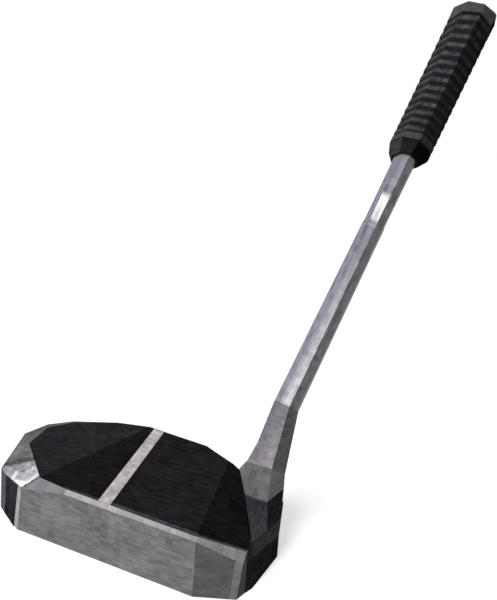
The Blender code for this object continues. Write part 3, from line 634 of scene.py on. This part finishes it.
class PUTTER_OT_neck(bpy.types.Operator):
    """Hosel and faceted steel shaft"""

    bl_idname = "putter.neck"
    bl_label = "Hosel and Shaft"

    def execute(self, context):
        settings = context.scene.putter_neck
        self.dress_hosel(settings)
        self.dress_shaft(settings)
        return {"FINISHED"}

    def dress_hosel(self, settings):
        marks = (1.9 * MM, WHOLE, 1.5 * MM)
        # The tones by face are painted light and shade: darker on the faces towards the heel,
        # more so above the hip and on the post in the shaft, with a painted highlight along the
        # neck's ridge
        front = steel_finish("front_hosel_steel", tinted(settings.hosel, 0.80),
                             cell=(2.4 * MM, WHOLE, 4.5 * MM), grain=(1.4, 1.0, 0.5),
                             contrast=0.36)
        neck = steel_finish("neck_hosel_painted_highlight", tinted(settings.hosel, 0.92, (0.97, 0.98, 1.07)),
                            cell=marks, contrast=0.28, lit=self.paint_ridge_highlight)
        heel = steel_finish("heel_hosel_painted_shade", tinted(settings.hosel, 0.62, WARM), cell=marks)
        shaded = steel_finish("hosel_painted_shade", tinted(settings.hosel, 0.42, WARM),
                              cell=marks)
        hip = 51.5
        shoulder = SHAFT_START / MM - 1.0

        def choose(normal, centre):
            """The post in the shaft gets painted shade, and the hip parts the neck from the
            block.
            """
            if centre.dot(SHAFT_WAY) > shoulder:
                return shaded
            if normal.x > 0.25:
                return shaded if centre.z > hip else heel
            return neck if centre.z > hip else front

        dressed("hosel", "blasted_hosel", settings.edge,
                [front, neck, heel, shaded], choose)

    def dress_shaft(self, settings):
        marks = (1.4 * MM, 1.4 * MM, 2.4 * MM)
        grain = (1.4, 1.4, 0.3)
        sides = []
        # Each side is a copy of the steel with painted reflection and shade: the front lighter
        # and with painted highlights, the toe side darker and bluer, the sides towards the heel
        # darkest, the sides behind a little darker
        for name, tone, cast, roughness, contrast, lit in (
                ("front", 1.25, PLAIN, 0.3, 0.24, self.glare),
                ("toe", 0.76, (0.94, 0.98, 1.13), 0.3, 0.28, None),
                ("shaded", 0.36, PLAIN, 0.35, 0.42, None),
                ("heel", 0.45, WARM, 0.35, 0.2, None),
                ("back", 0.8, PLAIN, 0.35, 0.16, None)):
            sides.append(steel_finish(name + "_shaft_steel_painted_light_and_shade", tinted(settings.shaft, tone, cast),
                                      roughness, 0.5, marks, grain, contrast, LEAN, lit))
        shaded = sides[2]
        side_of = by_side(sides)

        def choose(normal, centre):
            """The step's ledge and the two ends get painted shade."""
            across = abs(normal.dot(SHAFT_WAY)) > 0.5
            return shaded if across else side_of(normal, centre)

        dressed("shaft", "polished_shaft", settings.edge, sides, choose)

    @staticmethod
    def paint_ridge_highlight(tree, coat):
        """Painted highlight: lighter towards the near corner and the hip."""
        ridge = sweep(tree, (1.0, 0.0, -0.12), 42.0 * MM, 47.5 * MM)
        hip = sweep(tree, DOWN, -78.0 * MM, -58.0 * MM)
        return lighter(tree, blend(tree, ((ridge, 0.6), (hip, 0.4))), coat, 1.75,
                       (1.06, 1.0, 0.91))

    @staticmethod
    def glare(tree, coat):
        """Front side of the shaft, with painted light and shade: brighter towards the hosel,
        darker towards the grip.

        It has painted shade in the half at the toe, and a painted highlight below the grip.
        """
        painted_light_end, painted_shade_start, painted_shade_end, patch_start, patch_end = [
            SHAFT_START + length * MM for length in (42.0, 48.0, 74.0, 83.6, 94.0)]
        coat = lighter(tree, sweep(tree, -SHAFT_WAY, -painted_light_end, -SHAFT_START), coat, 1.55,
                       (1.04, 1.0, 0.97))
        coat = lighter(tree, sweep(tree, SHAFT_WAY, painted_shade_start, painted_shade_end), coat, 0.66,
                       (0.97, 0.99, 1.05))
        outward = Vector((math.cos(FRONT_TURN), math.sin(FRONT_TURN), 0.0))
        toeward = outward.cross(SHAFT_WAY)
        middle = SHAFT_MIDDLE.dot(toeward)
        coat = lighter(tree, sweep(tree, toeward, middle, middle + 1.2 * MM), coat, 0.68,
                       (0.95, 0.99, 1.08))
        # Painted highlight: a mottled near-white patch below the grip
        highlight_patch = times(tree, sweep(tree, SHAFT_WAY, patch_start, patch_start + 1.5 * MM),
                      sweep(tree, -SHAFT_WAY, -patch_end, -patch_end + 2.0 * MM))
        mottle = noise(tree, place(tree, (1.0, 1.0, 0.2), LEAN), 500.0, detail=3.0)
        return shade(tree, times(tree, highlight_patch, spread(tree, mottle, 0.5, 1.3)), coat,
                     (0.93, 0.93, 0.90))


class PUTTER_OT_seam(bpy.types.Operator):
    """Bead of glue that fills the seam between hosel and shaft"""

    bl_idname = "putter.seam"
    bl_label = "Glue Seam"

    def execute(self, context):
        corners = self.foot_corners()
        middle = sum(corners, Vector()) / len(corners)
        bm = bmesh.new()
        rings = [[bm.verts.new(middle + (corner - middle) * share - SHAFT_WAY * depth)
                  for corner in corners]
                 for depth, share in ((SEAM_TOP, 1.0), (SEAM_BASE, 1.0),
                                      (SEAM_BASE, SEAM_BORE), (SEAM_TOP, SEAM_BORE))]
        for ring, following in zip(rings, rings[1:] + rings[:1]):
            for index in range(len(ring)):
                bm.faces.new((ring[index - 1], ring[index], following[index],
                              following[index - 1]))
        bmesh.ops.recalc_face_normals(bm, faces=bm.faces)
        glue = coated_finish("grey_glue", (0.16, 0.155, 0.155), contrast=0.2)
        piece = new_piece(bm, "seam_glue", [glue])
        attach(piece, "root")
        return {"FINISHED"}

    @staticmethod
    def foot_corners():
        """Outer corners of the shaft's foot, in order round it."""
        bm = welded("shaft")
        bm.normal_update()
        below_step = SHAFT_START + 10.0 * MM
        foot = [face for face in bm.faces if face.normal.dot(SHAFT_WAY) < -0.5
                and face.calc_center_median().dot(SHAFT_WAY) < below_step]
        points = [vertex.co.copy() for vertex in bm.verts
                  if any(face in foot for face in vertex.link_faces)]
        bm.free()
        middle = sum(points, Vector()) / len(points)
        side = Vector(BACK)
        front = side.cross(SHAFT_WAY)
        turned = []
        for point in points:
            reach = point - middle
            reach -= SHAFT_WAY * reach.dot(SHAFT_WAY)
            turned.append((math.atan2(reach.dot(side), reach.dot(front)), reach.length, point))
        outer = 0.93 * max(length for _, length, _ in turned)
        turned.sort(key=lambda entry: entry[0])
        return [point for _, length, point in turned if length > outer]


class PUTTER_OT_grip(bpy.types.Operator):
    """Ribbed rubber grip with its collar and cap"""

    bl_idname = "putter.grip"
    bl_label = "Grip"

    def execute(self, context):
        settings = context.scene.putter_grip
        way = Vector(GRIP_WAY)
        rings = [vertex.co.dot(way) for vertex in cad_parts["grip_sleeve"].data.vertices]
        first = min(rings) + BAND_LENGTH
        pitch = (max(rings) - first) / RIB_COUNT
        sides = []
        # The ground, rib and band tones by side are painted light and shade: lighter on the toe
        # side, darker on the sides towards the heel and a little darker behind
        for name, ground, rib, band in (("front", 0.9, 0.97, 0.8), ("toe", 1.4, 1.05, 0.9),
                                        ("shaded", 0.6, 0.31, 0.35), ("heel", 0.9, 0.24, 0.5),
                                        ("back", 0.9, 0.5, 0.7)):
            sides.append(ribbed_finish(name + "_ribbed_rubber_painted_light_and_shade", tinted(settings.rubber, ground),
                                       tinted(settings.rib, rib), tinted(settings.band, band),
                                       pitch, first))
        dressed("grip_sleeve", "ribbed_sleeve", settings.edge, sides,
                by_side(sides))
        # The collar's and the cap's tones by side are painted light and shade
        self.dress_end("grip_collar", "grip_foot", "grey_rubber", (0.28, 0.75, 0.06, 0.4, 0.3))
        self.dress_end("grip_cap", "grip_butt", "black_rubber", (0.8, 1.0, 0.75, 0.1, 0.5))
        return {"FINISHED"}

    def dress_end(self, cad_node, name, slot, tones):
        """Collar or cap, its sides with painted light and shade like the sleeve's."""
        settings = bpy.context.scene.putter_grip
        cell = (1.6 * MM, 1.6 * MM, 1.6 * MM)
        sides = [coated_finish(f"{name}_rubber_{number}", tinted(settings.band, tone), 0.75,
                               cell, grain=(1.0, 1.0, 1.0), contrast=0.3)
                 for number, tone in enumerate(tones, 1)]
        dressed(cad_node, name, settings.edge, sides, by_side(sides))


class PUTTER_OT_fasteners(bpy.types.Operator):
    """Screws, weights, seals and hidden pieces"""

    bl_idname = "putter.fasteners"
    bl_label = "Fasteners"

    def execute(self, context):
        turned = steel_finish("turned_screw_steel", (0.30, 0.30, 0.31), 0.35,
                              cell=(1.0 * MM, 1.0 * MM, 1.0 * MM))
        rubber = coated_finish("seal_rubber", (0.02, 0.02, 0.02), 0.75)
        polymer = coated_finish("pad_polymer", (0.10, 0.03, 0.02))
        paper = coated_finish("tape_paper", (0.45, 0.42, 0.35), 0.9)
        # The first word found in a name counts, so the seal of a weight is rubber
        kinds = (("seal", rubber), ("plug", rubber), ("pad", polymer), ("tape", paper),
                 ("screw", turned), ("weight", turned), ("bolt", turned), ("washer", turned))
        for name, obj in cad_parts.items():
            if obj.hide_render:
                continue
            finish = next(made for word, made in kinds if word in name)
            obj.data.materials.clear()
            obj.data.materials.append(finish)
        return {"FINISHED"}


class PUTTER_OT_stage(bpy.types.Operator):
    """Pale floor, soft light and the camera"""

    bl_idname = "putter.stage"
    bl_label = "Stage"

    def execute(self, context):
        settings = context.scene.putter_stage
        scene = context.scene
        scene.view_settings.view_transform = "Standard"
        self.lay_floor(settings)
        self.light_world(scene, settings)
        self.hang_lamp(scene, settings)
        self.set_camera(scene, settings)
        return {"FINISHED"}

    def lay_floor(self, settings):
        bpy.ops.mesh.primitive_circle_add(vertices=96, radius=FLOOR_RADIUS, fill_type="NGON",
                                          location=(0.0, 0.0, -FLOOR_DROP))
        floor = bpy.context.object
        floor.name = "studio_floor"
        thrown = (settings.floor, settings.floor, settings.floor)
        made, tree, shader = new_finish("pale_floor", SEEN_FLOOR, 1.0)
        seen = self.seen_rays(tree)
        tree.links.new(shade(tree, seen, thrown, SEEN_FLOOR), shader.inputs["Base Color"])
        shader.inputs["Emission Color"].default_value = WHITE
        tree.links.new(times(tree, seen, settings.glow), shader.inputs["Emission Strength"])
        floor.data.materials.append(made)

    def light_world(self, scene, settings):
        world = bpy.data.worlds.new("soft_studio")
        world.use_nodes = True
        scene.world = world
        tree = world.node_tree
        background = tree.nodes["Background"]
        strength = spread(tree, self.seen_rays(tree), settings.sky, source=(0.0, 1.0))
        background.inputs["Color"].default_value = WHITE
        tree.links.new(strength, background.inputs["Strength"])

    def seen_rays(self, tree):
        """1 for what the camera sees, directly or in gloss or glass, and 0 for other light."""
        path = node(tree, "ShaderNodeLightPath")
        seen = path.outputs["Is Camera Ray"]
        for kind in ("Is Glossy Ray", "Is Transmission Ray"):
            seen = maths(tree, "MAXIMUM", seen, path.outputs[kind])
        return seen

    def hang_lamp(self, scene, settings):
        light = bpy.data.lights.new("key_light", "SUN")
        light.energy = settings.key
        light.angle = settings.softness
        lamp = bpy.data.objects.new("key_light", light)
        scene.collection.objects.link(lamp)
        lamp.location = LAMP_WAY
        lamp.rotation_mode = "QUATERNION"
        lamp.rotation_quaternion = (-Vector(LAMP_WAY)).to_track_quat("-Z", "Y")

    def set_camera(self, scene, settings):
        """Slightly rolled view from above the face, as in the photograph."""
        turn = Matrix((CAMERA_RIGHT, -CAMERA_DOWN, -CAMERA_AHEAD)).transposed()
        lens = bpy.data.cameras.new("photo_camera")
        lens.sensor_width = 36.0
        lens.lens = settings.lens
        lens.clip_start = 0.005
        lens.clip_end = 50.0
        camera = bpy.data.objects.new("photo_camera", lens)
        scene.collection.objects.link(camera)
        camera.matrix_world = Matrix.Translation(CAMERA_PLACE) @ turn.to_4x4()
        scene.camera = camera


PIECES = (PUTTER_OT_body, PUTTER_OT_face, PUTTER_OT_crown, PUTTER_OT_line, PUTTER_OT_rim,
          PUTTER_OT_neck, PUTTER_OT_seam, PUTTER_OT_grip, PUTTER_OT_fasteners, PUTTER_OT_stage)
SETTINGS = (("putter_head", HeadSettings), ("putter_neck", NeckSettings),
            ("putter_grip", GripSettings), ("putter_stage", StageSettings))


class PUTTER_PT_panel(bpy.types.Panel):
    """Lists the pieces and their settings"""

    bl_label = "Putter"
    bl_idname = "PUTTER_PT_panel"
    bl_space_type = "VIEW_3D"
    bl_region_type = "UI"
    bl_category = "Putter"

    def draw(self, context):
        for name, kind in SETTINGS:
            box = self.layout.box()
            box.label(text=kind.__doc__)
            for prop in kind.__annotations__:
                box.prop(getattr(context.scene, name), prop)
        for piece in PIECES:
            self.layout.operator(piece.bl_idname)


def register():
    for name, kind in SETTINGS:
        bpy.utils.register_class(kind)
        setattr(bpy.types.Scene, name, bpy.props.PointerProperty(type=kind))
    for kind in PIECES + (PUTTER_PT_panel,):
        bpy.utils.register_class(kind)


def unregister():
    for kind in (PUTTER_PT_panel,) + PIECES[::-1]:
        bpy.utils.unregister_class(kind)
    for name, kind in SETTINGS[::-1]:
        delattr(bpy.types.Scene, name)
        bpy.utils.unregister_class(kind)


def main():
    register()
    bpy.ops.putter.body()
    bpy.ops.putter.face()
    bpy.ops.putter.crown()
    bpy.ops.putter.line()
    bpy.ops.putter.rim()
    bpy.ops.putter.neck()
    bpy.ops.putter.seam()
    bpy.ops.putter.grip()
    bpy.ops.putter.fasteners()
    bpy.ops.putter.stage()


if __name__ == "__main__":
    main()
